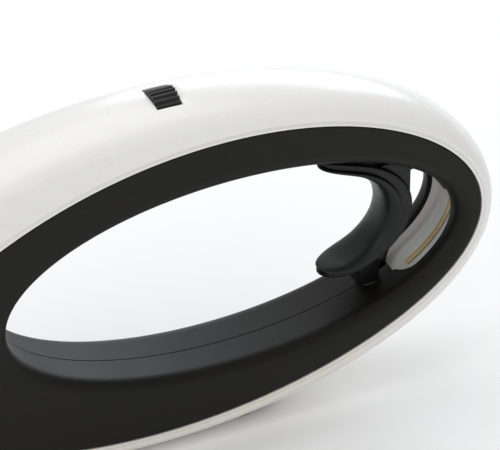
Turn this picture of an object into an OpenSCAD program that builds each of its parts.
// Hand-held microchip scanner with a closed loop handle.
// X runs from the reading head (-) to the grip end (+), Y across the body, Z up from the counter.

/* [Loop] */
// Length of the whole loop, head to grip end
loop_len = 284; // [235:1:345]
// Height of the outer outline before its underside is cut flat
loop_high = 152; // [126:1:184]
// Width across the two sides
body_w = 36; // [34:0.5:44]
// Thickness of the loop at the grip end
end_thick = 18.9; // [17:0.1:23]
// Length of the closed head, left of the hand opening
head_len = 78.5; // [70:0.5:100]
// Thickness of the top arm at the middle of the opening
top_thick = 36.1; // [30:0.1:42]
// Walls and room above and below the battery cell in the bottom arm
cell_room = 13.5; // [13:0.1:18]
// How much the underside is cut flat
flat_cut = 2; // [1:0.1:3]

/* [Shells] */
// Wall of the white covers
cover_wall = 2.2; // [1.6:0.1:2.6]
// Wall of the black frame halves
frame_wall = 2.2; // [1.6:0.1:2.6]
// Depth over which the outer edge rounds off
edge_deep = 8.2; // [7:0.1:8.2]
// Radius of the edge around the hand opening
inner_round = 6; // [4:0.1:6.5]
// Least depth of the white cover down each side
seam_least = 8.5; // [8.5:0.1:9.5]
// Extra depth of the cover on the head
seam_head = 24; // [18:0.5:26]
// Step of the black sides below the white ones
frame_step = 0.3; // [0.2:0.05:0.5]

/* [Thumbwheel] */
// Radius over the ribs
wheel_r = 7.2; // [6:0.1:7.6]
// Length along its axle
wheel_len = 9.9; // [8:0.1:13]
// Height above the cover
wheel_proud = 2; // [1.5:0.1:2.4]
// Place along the loop
wheel_x = 6.7; // [-15:0.1:25]
// Ribs around the wheel
wheel_ribs = 20; // [16:1:26]
// Radius of the axle
axle_r = 1.5; // [1.2:0.05:2]

/* [Trigger] */
// Travel of the trigger into the grip
stroke = 6.5; // [4:0.1:7]
// Free space between the trigger and the grip end at rest
trigger_gap = 15.1; // [14:0.1:17]
// Height over the two horns
horn_high = 54; // [46:0.1:56]
// Depth of the crescent, horns to back
horn_deep = 38; // [34:0.1:40]
// Width of the finger pad
pad_w = 19; // [17:0.1:19]
// Width of the trigger body behind the pad
carrier_w = 16; // [14:0.1:17]
// Height of the guide arm
arm_high = 5.4; // [5:0.1:5.8]
// Width of the guide arm
arm_w = 12.4; // [12:0.1:13.4]
// Width of the guide foot under the lower horn
foot_w = 8; // [6:0.1:10]
// Width of the slot that the arms run in
slot_w = 19.4; // [19:0.1:21]
// Half of the slot's length, as an angle of the opening's outline
slot_turn = 40; // [39:0.5:44]
// Depth of the tray behind the slot, from the opening's edge
tray_deep = 6; // [5.5:0.1:7]

/* [Inside] */
// Radius of the battery cell
cell_r = 9.2; // [7:0.1:9.6]
// Length of the battery cell
cell_len = 65; // [50:0.5:68]
// Half length of the coil across the head
coil_a = 30; // [27:0.5:32]
// Distance of the coil below the outline over its middle
coil_inset = 12; // [10:0.5:18]
// Length of the display window
window_l = 30; // [26:0.5:32]
// Height of the display window
window_h = 22; // [18:0.5:24]
// Radius of the power button
button_r = 4.5; // [3.5:0.1:5]
// Press of the power button
button_press = 0.8; // [0.5:0.1:1]

/* [Hidden] */
half_len = loop_len / 2;
half_high = loop_high / 2;
half_w = body_w / 2;
// the bottom arm is as thick as the battery cell asks for
bottom_thick = 2 * cell_r + cell_room;
// height of the loop's centre above the counter: the feet hold the flat underside up
foot_high = 2;
mid_z = half_high - flat_cut + foot_high;
// the hand opening is an ellipse of its own, set off from the loop's centre
gap_a = (loop_len - end_thick - head_len) / 2;
gap_b = (loop_high - top_thick - bottom_thick) / 2;
gap_x = half_len - end_thick - gap_a;
gap_z = half_high - top_thick - gap_b;
frame_y = half_w - frame_step;
fit = 0.1;
free = 0.35;
step_t = 5;
nose_from = 140;
nose_to = 235;
lip_long = 4;
lip_thick = 1.8;
lip_y = half_w - cover_wall - 2 * fit;
seam_gap = 0.4;

// unit normal of an ellipse with half axes a and b at parameter t
function normal_at(a, b, t) = let (v = [cos(t) / a, sin(t) / b]) v / norm(v);
// point of the loop's outline at parameter t, moved in by d
function outer_at(t, d) = [half_len * cos(t), half_high * sin(t)] - normal_at(half_len, half_high, t) * d;
// point of the opening's outline at parameter t, moved out into the frame by d
function gap_at(t, d) =
  [gap_x + gap_a * cos(t), gap_z + gap_b * sin(t)] + normal_at(gap_a, gap_b, t) * d;
function turn_from(t, c) = (t - c + 900) % 360 - 180;
function bell(t, c, w) = exp(-pow(turn_from(t, c) / w, 2));
// depth of the white cover's edge: shallow along the grip, deep on the head
function seam_at(t) = seam_least + seam_head * bell(t, 150, 58) + 2.8 * bell(t, -50, 45);
// depth of a rounded skin at distance y from the middle
function skin_deep(y, rise, wide) = edge_deep - rise * sqrt(1 - pow(min(1, abs(y) / wide), 2));
function inner_skin(y) = skin_deep(y, edge_deep - cover_wall, half_w - cover_wall);
// height of an ellipse's outline above its centre at x
function rise_at(a, b, x) = b * sqrt(1 - pow(x / a, 2));
function reach_at(a, b, z) = a * sqrt(1 - pow(z / b, 2));
// turns a point of the side view into space, never lower than low
function lift(v, y, low = 0) = [v[0], y, max(low, mid_z + v[1])];
function mix(a, b, k) = a * (1 - k) + b * k;

// Rings of equal, even point counts joined into a closed solid
module run(rings, loop = false) {
  n = len(rings[0]);
  m = len(rings);
  side = [for (i = [0:m - (loop ? 1 : 2)]) for (j = [0:n - 1])
    let (k = (i + 1) % m, e = (j + 1) % n)
    each [[i * n + j, k * n + j, i * n + e], [i * n + e, k * n + j, k * n + e]]];
  z = (m - 1) * n;
  ends = loop ? [] : [for (j = [0:n / 2 - 2]) let (a = j, b = j + 1, c = n - 2 - j, d = n - 1 - j)
    each [[a, b, c], [a, c, d], [z + a, z + c, z + b], [z + a, z + d, z + c]]];
  polyhedron(points = [for (r = rings) each r], faces = concat(side, ends), convexity = 8);
}

// A side-view outline, from y0 to y1
module slab(y0, y1) {
  translate([0, y1, mid_z]) rotate([90, 0, 0]) linear_extrude(y1 - y0) children();
}
module rod_y(p, y0, y1, r) {
  translate([p[0], y0, mid_z + p[1]]) rotate([-90, 0, 0]) cylinder(h = y1 - y0, r = r, $fn = 48);
}
module rod_x(x0, x1, y, z, r) {
  translate([x0, y, mid_z + z]) rotate([0, 90, 0]) cylinder(h = x1 - x0, r = r, $fn = 48);
}
module block(x0, x1, y0, y1, z0, z1) {
  translate([x0, y0, mid_z + z0]) cube([x1 - x0, y1 - y0, z1 - z0]);
}
module oval(a, b) {
  polygon([for (t = [0:5:355]) [a * cos(t), b * sin(t)]]);
}

// ---- white covers ----
function cover_ring(t) = let (
    low = foot_high,
    d = seam_at(t),
    skin = [for (b = [-90:15:90]) [b, cos(b), sin(b)]])
  concat(
    [lift(outer_at(t, d), -half_w, low)],
    [for (s = skin) lift(outer_at(t, edge_deep * (1 - s[1])), half_w * s[2], low)],
    [lift(outer_at(t, d), half_w, low), lift(outer_at(t, d), half_w - cover_wall, low)],
    [for (i = [len(skin) - 1:-1:0]) let (s = skin[i])
      lift(outer_at(t, edge_deep - (edge_deep - cover_wall) * s[1]), (half_w - cover_wall) * s[2],
        low + cover_wall)],
    [lift(outer_at(t, d), cover_wall - half_w, low)]);

slot_side = 0.25;
wheel_z = rise_at(half_len, half_high, wheel_x) + wheel_proud - wheel_r;
wheel_slot_l = wheel_len + 2 * slot_side;
// depth below the wheel's top at which the cover's inside is nearest the ribs
wheel_deep = wheel_proud + cover_wall + 0.8;
wheel_slot_w = 2 * (reach_at(wheel_r, wheel_r, wheel_r - wheel_deep) + 0.4);
// charging pins stand between the two feet
pin_r = 1.5;
pin_x = [-4, 4];

module handle_cover() {
  color([0.95, 0.95, 0.94]) difference() {
    run([for (t = [nose_to - 360:step_t:nose_from]) cover_ring(t)]);
    block(wheel_x - wheel_slot_l / 2, wheel_x + wheel_slot_l / 2, -wheel_slot_w / 2, wheel_slot_w / 2,
      half_high - 12, half_high + 4);
    for (x = pin_x) translate([x, 0, 0]) cylinder(h = 12, r = pin_r + fit / 2, $fn = 32);
  }
}
module nose_cover() {
  gap_t = 0.12;
  color([0.95, 0.95, 0.94]) run(concat(
    [cover_ring(nose_from + gap_t)],
    [for (t = [nose_from + step_t:step_t:nose_to - step_t]) cover_ring(t)],
    [cover_ring(nose_to - gap_t)]));
}

// ---- black frame halves ----
// half width of the trigger slot at angle t: straight sides and round ends
slot_end = slot_w / 2 / norm([gap_a * sin(slot_turn), gap_b * cos(slot_turn)]) * 180 / PI;
function slot_main(t) = let (past = abs(turn_from(t, 0)) - (slot_turn - slot_end))
  past >= slot_end ? 0 : past <= 0 ? slot_w / 2 : slot_w / 2 * sqrt(1 - pow(past / slot_end, 2));
// a narrower groove runs on from the slot's lower end for the trigger's guide foot
groove_turn = slot_turn + 9;
groove_half = foot_w / 2 + free;
function slot_half(t) = let (u = turn_from(t, 0))
  max(slot_main(t), u <= -slot_from && u >= -groove_turn ? groove_half : 0);
slot_from = slot_turn - slot_end;
frame_turns = concat(
  [-groove_turn - 0.3, -groove_turn, mix(-groove_turn, -slot_turn, 0.5)],
  [for (t = [-slot_turn:slot_end / 8:-slot_from]) t],
  [for (k = [1:9]) -slot_from + k * slot_from / 5],
  [for (t = [slot_from:slot_end / 8:slot_turn + 0.01]) t],
  [for (k = [1:53]) slot_turn + k * (360 - slot_turn - groove_turn) / 54]);
lip_in = 1.5;

function frame_ring(t) = let (
    d = seam_at(t),
    from = max(d - lip_long, edge_deep - 0.3),
    arc = [for (c = [0:22.5:90]) [cos(c), sin(c)]],
    mid = frame_y - inner_round,
    r = inner_round - frame_wall)
  concat(
    [lift(gap_at(t, 0), -slot_half(t))],
    [for (a = arc) lift(gap_at(t, inner_round * (1 - a[0])), -mid - inner_round * a[1])],
    [lift(outer_at(t, d + seam_gap), -frame_y), lift(outer_at(t, d + seam_gap), -lip_y),
      lift(outer_at(t, from), -lip_y), lift(outer_at(t, from), lip_thick - lip_y),
      lift(outer_at(t, d + lip_in), lip_thick - lip_y),
      lift(outer_at(t, d + lip_in + 1.3), frame_wall - frame_y)],
    [for (i = [len(arc) - 1:-1:0]) lift(gap_at(t, inner_round - r * arc[i][0]), -mid - r * arc[i][1])],
    [lift(gap_at(t, frame_wall), -slot_half(t))]);
module frame_shell() {
  run([for (t = frame_turns) frame_ring(t)], loop = true);
}

// posts that the case screws pull the halves together on: outline angle, opening angle, share
post_marks = [[55, 55, 0.5], [95, 95, 0.5], [125, 165, 0.5], [250, 235, 0.42], [300, 300, 0.45]];
post_r = 2.5;
post_bore = 1.25;
screw_r = 1.2;
screw_head_r = 2.7;
screw_head = 1.1;
screw_y = frame_y - 1.3;

// display, button and lamp sit on the near side of the head
head_x = -half_len + 54;
head_z = -8;
button_at = [head_x + 4, head_z - 22];
// one post stands beside the button and the others are shared between the two outlines
button_post = button_at + [-9.8, 0];
post_at = concat([button_post], [for (m = post_marks)
  mix(outer_at(m[0], seam_at(m[0]) + lip_in), gap_at(m[1], frame_wall), m[2])]);
lens_at = [head_x + 12, head_z - 16];
lens_r = 2;
window_thick = 1.2;
window_lip = 1;

module frame_near() {
  color([0.14, 0.14, 0.14]) difference() {
    frame_shell();
    display_plate(-half_w, -frame_y + window_thick + fit, fit);
    display_plate(-half_w, -half_w + 6, -window_lip);
    rod_y(button_at, -half_w - 1, -half_w + 6, button_r + 0.3);
    rod_y(lens_at, -half_w - 1, -half_w + 6, lens_r + fit);
  }
}
module frame_far() {
  color([0.14, 0.14, 0.14]) difference() {
    mirror([0, 1, 0]) frame_shell();
    for (p = post_at) {
      rod_y(p, half_w - 6, half_w + 1, screw_r + 0.25);
      rod_y(p, screw_y, half_w + 1, screw_head_r + 0.2);
    }
  }
}
module case_posts() {
  color([0.78, 0.63, 0.32]) for (p = post_at) difference() {
    rod_y(p, frame_wall - frame_y + fit, frame_y - frame_wall - fit, post_r);
    rod_y(p, 3, half_w, post_bore);
  }
}
module case_screws() {
  color([0.55, 0.56, 0.58]) for (p = post_at) difference() {
    union() {
      rod_y(p, screw_y, screw_y + screw_head, screw_head_r);
      rod_y(p, 5, screw_y, screw_r);
    }
    translate([p[0], screw_y + screw_head - 0.7, mid_z + p[1]]) rotate([-90, 0, 0])
      cylinder(h = 2, r = 1.15, $fn = 6);
  }
}

// ---- feet and charging pins ----
// a foot's cross-section: its top lies on the cover, its underside stands at least drop below that
function foot_ring(t, drop, low = 0) = let (ys = [for (b = [-30, -15, 0, 15, 30]) half_w * sin(b)])
  concat(
    [for (y = ys) lift(outer_at(t, skin_deep(y, edge_deep, half_w)), y, foot_high) - [0, 0, 0.05]],
    [for (k = [4:-1:0]) let (p = outer_at(t, skin_deep(ys[k], edge_deep, half_w)))
      [p[0], ys[k], max(low, mid_z + p[1] - drop)]]);
module base_feet() {
  color([0.1, 0.1, 0.1]) {
    run([foot_ring(240, 0.8), foot_ring(245, 6), for (t = [250:step_t:265]) foot_ring(t, half_high)]);
    run([foot_ring(275, half_high), foot_ring(280, half_high), foot_ring(285, half_high), foot_ring(290, 1)]);
  }
}
module charge_pins() {
  color([0.85, 0.68, 0.3]) for (x = pin_x) translate([x, 0, foot_high - 1.2]) {
    cylinder(h = 6, r = pin_r, $fn = 32);
    translate([0, 0, 1.2 + cover_wall + fit]) cylinder(h = 1.2, r = pin_r + 1, $fn = 32);
  }
}

// ---- thumbwheel ----
core_r = wheel_r - 1.95;
cheek_gap = 0.5;
cheek = 2;
module thumb_wheel() {
  color([0.13, 0.13, 0.13]) difference() {
    rod_x(wheel_x - wheel_len / 2, wheel_x + wheel_len / 2, 0, wheel_z, wheel_r);
    rod_x(wheel_x - wheel_len, wheel_x + wheel_len, 0, wheel_z, core_r);
    for (k = [0:wheel_ribs - 1]) let (a = k * 360 / wheel_ribs)
      rod_x(wheel_x - wheel_len, wheel_x + wheel_len, (wheel_r + 0.15) * sin(a),
        wheel_z + (wheel_r + 0.15) * cos(a), 0.6);
  }
}
module wheel_core() {
  color([0.2, 0.2, 0.21]) difference() {
    rod_x(wheel_x - wheel_len / 2 + 0.1, wheel_x + wheel_len / 2 - 0.1, 0, wheel_z, core_r);
    rod_x(wheel_x - wheel_len, wheel_x + wheel_len, 0, wheel_z, axle_r + 0.05);
  }
}
bracket_in = wheel_len / 2 + cheek_gap;
bracket_low = wheel_z - wheel_r - 1.4;
module wheel_axle() {
  color([0.7, 0.71, 0.73])
    rod_x(wheel_x - bracket_in - cheek + 0.1, wheel_x + bracket_in + cheek - 0.1, 0, wheel_z, axle_r);
}
module wheel_bracket() {
  color([0.22, 0.22, 0.23]) difference() {
    union() {
      for (s = [-1, 1]) let (x = wheel_x + s * (bracket_in + cheek / 2))
        block(x - cheek / 2, x + cheek / 2, -6, 6, bracket_low - 0.5, wheel_z + 1.4);
      block(wheel_x - bracket_in - cheek, wheel_x + bracket_in + cheek, -lip_y + lip_thick + fit,
        lip_y - lip_thick - fit, bracket_low - 2, bracket_low);
    }
    rod_x(wheel_x - bracket_in - 3, wheel_x + bracket_in + 3, 0, wheel_z, axle_r + 0.02);
  }
}
module wheel_sensor() {
  x = wheel_x + bracket_in + cheek;
  color([0.12, 0.3, 0.2]) block(x, x + 1.2, -5, 5, bracket_low + 0.5, wheel_z + 0.8);
  color([0.1, 0.1, 0.1]) block(x + 1.2, x + 2.6, -3, 3, bracket_low + 2, wheel_z - 1);
}

// ---- trigger ----
horn_x = gap_x + gap_a - trigger_gap - horn_deep;
trigger_z = gap_z + 4.1;
pad_mid = 6.5;
carrier_mid = 5.3;
pad_horn = 2.3;
carrier_horn = 2.5;
split_a = horn_deep - carrier_mid;
split_b = horn_high / 2 - carrier_horn;
horn_tip = 88;
horn_turns = [for (k = [-12:12]) horn_tip * sin(k * 7.5)];
// how full the crescent is near its horn tips: its thickness, then its width
function horn_full(u) = sqrt(1 - 0.9 * pow(max(0, abs(u) - horn_tip + 12) / 12, 2));
function horn_wide(u) = sqrt(1 - 0.97 * pow(max(0, abs(u) - horn_tip + 26) / 26, 2));
function horn_pt(u, a0, b0, a1, b1, f, y) = let (k = 0.5 + (f - 0.5) * horn_full(u))
  [horn_x + mix(a0, a1, k) * cos(u), y * horn_wide(u), mid_z + trigger_z + mix(b0, b1, k) * sin(u)];
function horn_side(u, a0, b0, a1, b1, w) =
  [for (s = [[0, 1.6], [0.3, 0], [0.75, 0], [1, 0.8]]) horn_pt(u, a0, b0, a1, b1, s[0], s[1] - w / 2)];
function horn_loop(u, a0, b0, a1, b1, w) = let (r = horn_side(u, a0, b0, a1, b1, w))
  concat(r, [for (i = [3:-1:0]) [r[i][0], -r[i][1], r[i][2]]]);

module trigger_pad() {
  color([0.16, 0.17, 0.17])
    run([for (u = horn_turns) horn_loop(u, split_a - pad_mid, split_b - pad_horn, split_a, split_b, pad_w)]);
}
// the arm runs straight back from the upper horn, through a guide and into the grip end
arm_low = gap_z + 19.5;
arm_z = arm_low + arm_high / 2;
arm_top = arm_low + arm_high;
guide_wall = 1.2;
guide_low = arm_low - free - guide_wall;
guide_x = gap_x + reach_at(gap_a, gap_b, guide_low - gap_z) + 0.2;
guide_deep = 4.8;
flange_x = guide_x + guide_deep + 0.3;
flange = 1.5;
flange_w = arm_w + 2.6;
bore_r = 1.9;
bore_y = 3.1;
bore_x = flange_x - 13;
// the foot under the lower horn slides in the groove and stays above the tray
foot_x = horn_x + 17;
foot_long = 9;
foot_low = gap_z - rise_at(gap_a, gap_b, foot_x + 4 - gap_x) + 1;
gusset_x = guide_x - free - stroke;
// point in the middle of the carrier's thickness at angle u
function carrier_at(u) = [horn_x + (horn_deep - carrier_mid / 2) * cos(u),
  trigger_z + (horn_high - carrier_horn) / 2 * sin(u)];
module trigger_carrier() {
  color([0.2, 0.2, 0.21]) difference() {
    union() {
      run([for (u = horn_turns) horn_loop(u, split_a + fit / 2, split_b + fit / 2, horn_deep, horn_high / 2,
        carrier_w)]);
      slab(-arm_w / 2, arm_w / 2) polygon(concat([for (u = [52:-7:10]) carrier_at(u)],
        [[gusset_x, carrier_at(12)[1]], [gusset_x, arm_low], [flange_x + flange, arm_low],
          [flange_x + flange, arm_top], [carrier_at(50)[0], arm_top]]));
      block(flange_x, flange_x + flange, -flange_w / 2, flange_w / 2, arm_low, arm_top);
      slab(-foot_w / 2, foot_w / 2) polygon(concat([for (u = [-67:8:-35]) carrier_at(u)],
        [[foot_x + foot_long, carrier_at(-55)[1]], [foot_x + foot_long, foot_low], [foot_x, foot_low],
          [foot_x, carrier_at(-60)[1] - 5]]));
    }
    for (y = [-bore_y, bore_y]) rod_x(bore_x, flange_x + 3, y, arm_z, bore_r);
  }
}

// ---- grip end ----
tray_wall = 1.2;
tray_side = 1;
tray_half = slot_w / 2 + 0.5;
tray_top = frame_wall + 0.15;
tray_from = -slot_turn + 0.5;
tray_to = slot_turn - 23;
function tray_ring(t) = let (
    wide = tray_half + tray_side,
    low = tray_deep + tray_wall)
  [for (q = [[-wide, tray_top], [-wide, low], [wide, low], [wide, tray_top],
      [tray_half, tray_top], [tray_half, tray_deep], [-tray_half, tray_deep], [-tray_half, tray_top]])
    lift(gap_at(t, q[1]), q[0])];
strip_thick = 0.35;
strip_half = 1.3;
function strip_ring(t) = [for (q = [[-1, 1], [-1, 0], [1, 0], [1, 1]])
  lift(gap_at(t, tray_deep - 0.08 - strip_thick * q[1]), strip_half * q[0])];
module slot_tray() {
  color([0.82, 0.82, 0.82]) run([for (k = [0:14]) tray_ring(mix(tray_from, tray_to, k / 14))]);
}
module tray_strip() {
  color([0.72, 0.58, 0.3]) run([for (k = [0:14]) strip_ring(mix(tray_from + 5, tray_to - 3, k / 14))]);
}
spring_wire = 0.25;
spring_r = bore_r - 0.3 - spring_wire;
// where the two springs bear on the inside of the cover
spring_end = let (n = normal_at(half_len, half_high, asin(arm_z / half_high)), r = spring_r + spring_wire)
  reach_at(half_len, half_high, arm_z) - (inner_skin(bore_y + r) + r * n[1]) / n[0] - 0.2;
module trigger_springs() {
  turns = 8;
  side = 10;
  from = bore_x + 0.1 + spring_wire;
  to = spring_end - spring_wire;
  color([0.62, 0.63, 0.65]) for (y = [-bore_y, bore_y])
    run([for (k = [0:turns * side]) let (a = k * 360 / side, x = mix(from, to, k / turns / side))
      [for (b = [0:60:300]) let (r = spring_r + spring_wire * cos(b))
        [x + spring_wire * sin(b), y + r * cos(a), mid_z + arm_z + r * sin(a)]]]);
}
ear_y = half_w - 4;
tongue_to = asin((arm_low - free - 2.3 - gap_z) / gap_b);
module arm_guide() {
  top = arm_top + free + guide_wall;
  color([0.11, 0.11, 0.11]) {
    difference() {
      union() {
        block(guide_x, guide_x + guide_deep, -slot_w / 2 + 0.5, slot_w / 2 - 0.5, guide_low, top);
        block(guide_x + guide_deep - 1.8, guide_x + guide_deep, -ear_y, ear_y, top - 2.4, top);
      }
      block(guide_x - 1, guide_x + guide_deep + 1, -arm_w / 2 - free, arm_w / 2 + free, arm_low - free,
        top - guide_wall);
    }
    // tongue that closes the slot's upper end, up to the arm
    slab(-6.2, 6.2) polygon(concat(
      [for (k = [0:6]) gap_at(mix(8, tongue_to, k / 6), 0.2)],
      [for (k = [6:-1:0]) gap_at(mix(8, tongue_to, k / 6), 3)]));
  }
}
switch_z = arm_top + free + guide_wall + 0.6;
switch_x = guide_x - 2;
module trigger_switch() {
  color([0.1, 0.1, 0.1]) block(switch_x, switch_x + 11, -3, 3, switch_z, switch_z + 5.6);
  color([0.75, 0.2, 0.15]) block(switch_x + 8.6, switch_x + 9.8, -1.5, 1.5, arm_top + free, switch_z);
}
module switch_mount() {
  color([0.22, 0.22, 0.23]) block(switch_x - 2, switch_x + 6, -lip_y + lip_thick + fit, 4,
    switch_z + 5.7, switch_z + 7.2);
}

// ---- head electronics ----
// a plate centred on the display, from y0 to y1, grown by more on each side
module display_plate(y0, y1, more) {
  block(head_x - window_l / 2 - more, head_x + window_l / 2 + more, y0, y1,
    head_z - window_h / 2 - more, head_z + window_h / 2 + more);
}
module display_window() {
  color([0.25, 0.3, 0.32]) display_plate(-frame_y, -frame_y + window_thick, 0);
}
module_y = -frame_y + frame_wall + fit;
module display_module() {
  color([0.6, 0.63, 0.6]) display_plate(module_y, module_y + 4.4, 1.5);
}
coil_at = [-half_len + 42, -2];
coil_b = rise_at(half_len, half_high, coil_at[0]) - coil_inset;
board_y = -8;
board_thick = 1.6;
board_posts_at = [[head_x - 24, 17], [head_x + 6, 17], [head_x - 16, -20], [head_x + 6, -20]];
module display_header() {
  color([0.1, 0.1, 0.1])
    block(head_x - 12, head_x + 12, module_y + 4.4, board_y, head_z + 6, head_z + 8.5);
}
module main_board() {
  color([0.08, 0.32, 0.2]) difference() {
    slab(board_y, board_y + board_thick) polygon([[head_x - 30, 22], [head_x + 14, 22], [head_x + 14, -36],
      [head_x - 16, -36], [head_x - 30, -22]]);
    rod_y(button_post, board_y - 1, board_y + 3, post_r + 1);
    for (p = board_posts_at) rod_y(p, board_y - 1, board_y + 3, 1.3);
  }
}
module board_chips() {
  back = board_y + board_thick;
  chips = [[-10, 4, 10, 10, 1.4], [6, 6, 7, 7, 1.2], [-24, -6, 8, 12, 2.2], [3, -12, 9, 5, 1.6],
    [-12, -12, 5, 4, 1.8]];
  color([0.09, 0.09, 0.1]) for (c = chips) block(head_x + c[0] - c[2] / 2, head_x + c[0] + c[2] / 2, back,
    back + c[4], c[1] - c[3] / 2, c[1] + c[3] / 2);
}
module buzzer() {
  color([0.12, 0.12, 0.12]) difference() {
    rod_y([head_x - 21.5, 6.5], board_y + board_thick, board_y + board_thick + 5, 5.4);
    rod_y([head_x - 21.5, 6.5], board_y + board_thick + 4, board_y + board_thick + 6, 1);
  }
}
module board_posts() {
  color([0.85, 0.84, 0.8]) for (p = board_posts_at) difference() {
    rod_y(p, board_y + board_thick, frame_y - frame_wall - fit, 2.4);
    rod_y(p, board_y, board_y + 9, 1.15);
  }
}
module board_screws() {
  color([0.6, 0.6, 0.62]) for (p = board_posts_at) {
    rod_y(p, board_y - 1.3, board_y, 2.1);
    rod_y(p, board_y, board_y + 8, 1.1);
  }
}
former_y = 2;
former_deep = 9;
former_wall = 1;
module coil_ring(y0, y1, inner, outer) {
  translate([coil_at[0], 0, coil_at[1]]) slab(y0, y1) difference() {
    oval(coil_a + outer, coil_b + outer);
    oval(coil_a + inner, coil_b + inner);
  }
}
module coil_former() {
  color([0.75, 0.74, 0.7]) {
    coil_ring(former_y, former_y + former_wall, -4.5, 0.5);
    coil_ring(former_y + former_wall, former_y + former_deep - former_wall, -4.5, -3);
    coil_ring(former_y + former_deep - former_wall, former_y + former_deep, -4.5, 0.5);
    for (a = [90, 210, 330]) let (p = coil_at + [(coil_a - 2) * cos(a), (coil_b - 2) * sin(a)])
      rod_y(p, former_y + former_deep, frame_y - frame_wall - fit, 2.4);
  }
}
module antenna_coil() {
  color([0.72, 0.36, 0.16])
    coil_ring(former_y + former_wall + fit, former_y + former_deep - former_wall - fit, -2.9, 0);
}
stem_end = -12.4;
module power_button() {
  flange_y = -frame_y + frame_wall + 0.35;
  color([0.3, 0.31, 0.32]) {
    rod_y(button_at, -half_w, flange_y, button_r);
    rod_y(button_at, flange_y, flange_y + 1, button_r + 1.1);
    rod_y(button_at, flange_y + 1, stem_end, 1.5);
  }
}
module tact_switch() {
  top = stem_end + button_press + 0.35;
  color([0.15, 0.15, 0.16])
    block(button_at[0] - 3, button_at[0] + 3, top + 0.5, board_y, button_at[1] - 3, button_at[1] + 3);
  color([0.8, 0.8, 0.8]) rod_y(button_at, top, top + 0.5, 1.5);
}
module status_lens() {
  color([0.7, 0.9, 0.75]) {
    rod_y(lens_at, -half_w + 0.1, module_y, lens_r);
    rod_y(lens_at, module_y, module_y + 1, lens_r + 0.8);
  }
}
module status_led() {
  color([0.9, 0.95, 0.9])
    block(lens_at[0] - 1.5, lens_at[0] + 1.5, board_y - 2.5, board_y, lens_at[1] - 1.5, lens_at[1] + 1.5);
}

// ---- battery and wiring ----
cell_mid = 22;
cell_z = -half_high + flat_cut + cover_wall + cell_r + 6.3;
module battery_cell() {
  color([0.16, 0.36, 0.6]) {
    rod_x(cell_mid - cell_len / 2, cell_mid + cell_len / 2 - 1.5, 0, cell_z, cell_r);
    rod_x(cell_mid + cell_len / 2 - 1.5, cell_mid + cell_len / 2, 0, cell_z, 3);
  }
}
module battery_contacts() {
  color([0.75, 0.76, 0.78]) for (s = [-1, 1]) let (x = cell_mid + s * (cell_len / 2 + 0.3))
    block(x - 0.25, x + 0.25, -5, 5, cell_z - 5, cell_z + 5);
}
module battery_cradle() {
  l = cell_len / 2 + 0.6;
  low = 1.2;
  color([0.2, 0.2, 0.21]) difference() {
    block(cell_mid - l - 1.4, cell_mid + l + 1.4, -11.5, 11.5, cell_z - cell_r - low, cell_z - 1);
    rod_x(cell_mid - l, cell_mid + l, 0, cell_z, cell_r + 0.15);
    block(cell_mid + l - 8, cell_mid + l + 2, -12, -6.5, cell_z - cell_r - 2, cell_z);
    block(cell_mid + l - 8, cell_mid + l + 2, 6.5, 12, cell_z - cell_r - 2, cell_z);
  }
}
wire_r = 0.9;
// depth of a wire under the loop's outline: shallow at the grip end, deeper along the arms
function wire_deep(t) = 8.5 + 11.5 * min(1, max(0, (t - 38) / 32));
module wire_loom() {
  y = half_w - 9.5;
  color([0.5, 0.12, 0.1]) {
    run([for (t = [26:4:122]) let (n = normal_at(half_len, half_high, t), p = outer_at(t, wire_deep(t)))
      [for (b = [0:60:300]) lift(p + n * wire_r * cos(b), y + wire_r * sin(b))]]);
    run([for (t = [233:3:257]) let (n = normal_at(half_len, half_high, t), p = outer_at(t, 16))
      [for (b = [0:60:300]) lift(p + n * wire_r * cos(b), y - 6 + wire_r * sin(b))]]);
  }
}

handle_cover();
nose_cover();
frame_near();
frame_far();
case_posts();
case_screws();
base_feet();
charge_pins();
thumb_wheel();
wheel_core();
wheel_axle();
wheel_bracket();
wheel_sensor();
trigger_pad();
trigger_carrier();
trigger_springs();
arm_guide();
slot_tray();
tray_strip();
trigger_switch();
switch_mount();
display_window();
display_module();
display_header();
main_board();
board_chips();
buzzer();
board_posts();
board_screws();
coil_former();
antenna_coil();
power_button();
tact_switch();
status_lens();
status_led();
battery_cell();
battery_contacts();
battery_cradle();
wire_loom();
